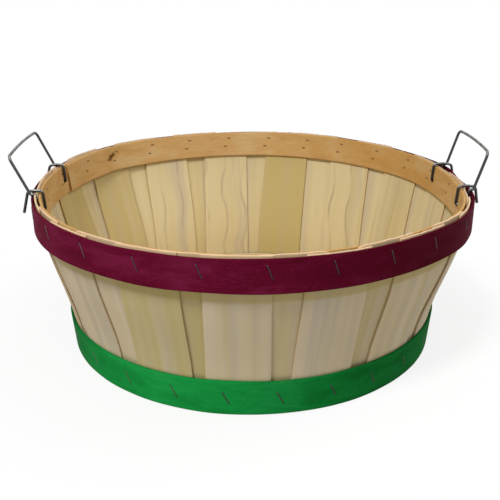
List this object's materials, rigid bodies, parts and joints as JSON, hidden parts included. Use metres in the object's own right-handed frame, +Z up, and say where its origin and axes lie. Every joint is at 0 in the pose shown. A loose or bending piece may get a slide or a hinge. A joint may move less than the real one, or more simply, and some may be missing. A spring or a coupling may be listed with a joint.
{
  "type": "bushel basket",
  "caption": "Low round tub basket of overlapping veneer staves, clamped by dyed hoops at rim and foot, with a bent wire handle on each side.",
  "frame": {"origin": "centre of the foot, on the surface that the basket stands on", "axes": "+Z up, +X from the left handle to the right handle, -Y towards the picture's camera"},
  "size_m": [0.5408, 0.5194, 0.2373],
  "materials": {
    "outer_veneer": "raw rotary-cut veneer, pale cream",
    "inner_veneer": "raw rotary-cut veneer, pale yellow",
    "tan_hoop": "raw hoop wood, orange tan",
    "maroon_dyed_hoop": "dyed hoop wood, matt maroon",
    "green_dyed_hoop": "dyed hoop wood, matt green",
    "floor_wood": "raw sawn board",
    "handle_wire": "dull drawn steel wire",
    "staple_wire": "dull thin steel wire"
  },
  "bodies": {
    "basket": {"outer_stave_01": "outer_veneer", "outer_stave_02": "outer_veneer", "outer_stave_03": "outer_veneer", "outer_stave_04": "outer_veneer", "outer_stave_05": "outer_veneer", "outer_stave_06": "outer_veneer", "outer_stave_07": "outer_veneer", "outer_stave_08": "outer_veneer", "outer_stave_09": "outer_veneer", "outer_stave_10": "outer_veneer", "outer_stave_11": "outer_veneer", "outer_stave_12": "outer_veneer", "outer_stave_13": "outer_veneer", "outer_stave_14": "outer_veneer", "outer_stave_15": "outer_veneer", "outer_stave_16": "outer_veneer", "inner_stave_01": "inner_veneer", "inner_stave_02": "inner_veneer", "inner_stave_03": "inner_veneer", "inner_stave_04": "inner_veneer", "inner_stave_05": "inner_veneer", "inner_stave_06": "inner_veneer", "inner_stave_07": "inner_veneer", "inner_stave_08": "inner_veneer", "inner_stave_09": "inner_veneer", "inner_stave_10": "inner_veneer", "inner_stave_11": "inner_veneer", "inner_stave_12": "inner_veneer", "inner_stave_13": "inner_veneer", "inner_stave_14": "inner_veneer", "inner_stave_15": "inner_veneer", "inner_stave_16": "inner_veneer", "outer_top_hoop": "maroon_dyed_hoop", "outer_bottom_hoop": "green_dyed_hoop", "inner_top_hoop": "tan_hoop", "floor_board_1": "floor_wood", "floor_board_2": "floor_wood", "floor_board_3": "floor_wood", "floor_board_4": "floor_wood", "floor_board_5": "floor_wood", "floor_board_6": "floor_wood", "floor_board_7": "floor_wood"},
    "left_handle": {"left_wire_handle": "handle_wire"},
    "right_handle": {"right_wire_handle": "handle_wire"}
  },
  "joints": [
    {"name": "left_handle_swing", "type": "hinge", "parent": "basket", "child": "left_handle", "pos_m": [-0.24369, -0.00723, 0.171], "axis": [-0.0297, 0.9996, 0], "range_deg": [0, 3]},
    {"name": "right_handle_swing", "type": "hinge", "parent": "basket", "child": "right_handle", "pos_m": [0.24591, -0.00214, 0.171], "axis": [0.0279, -0.9996, 0], "range_deg": [0, 3]}
  ]
}
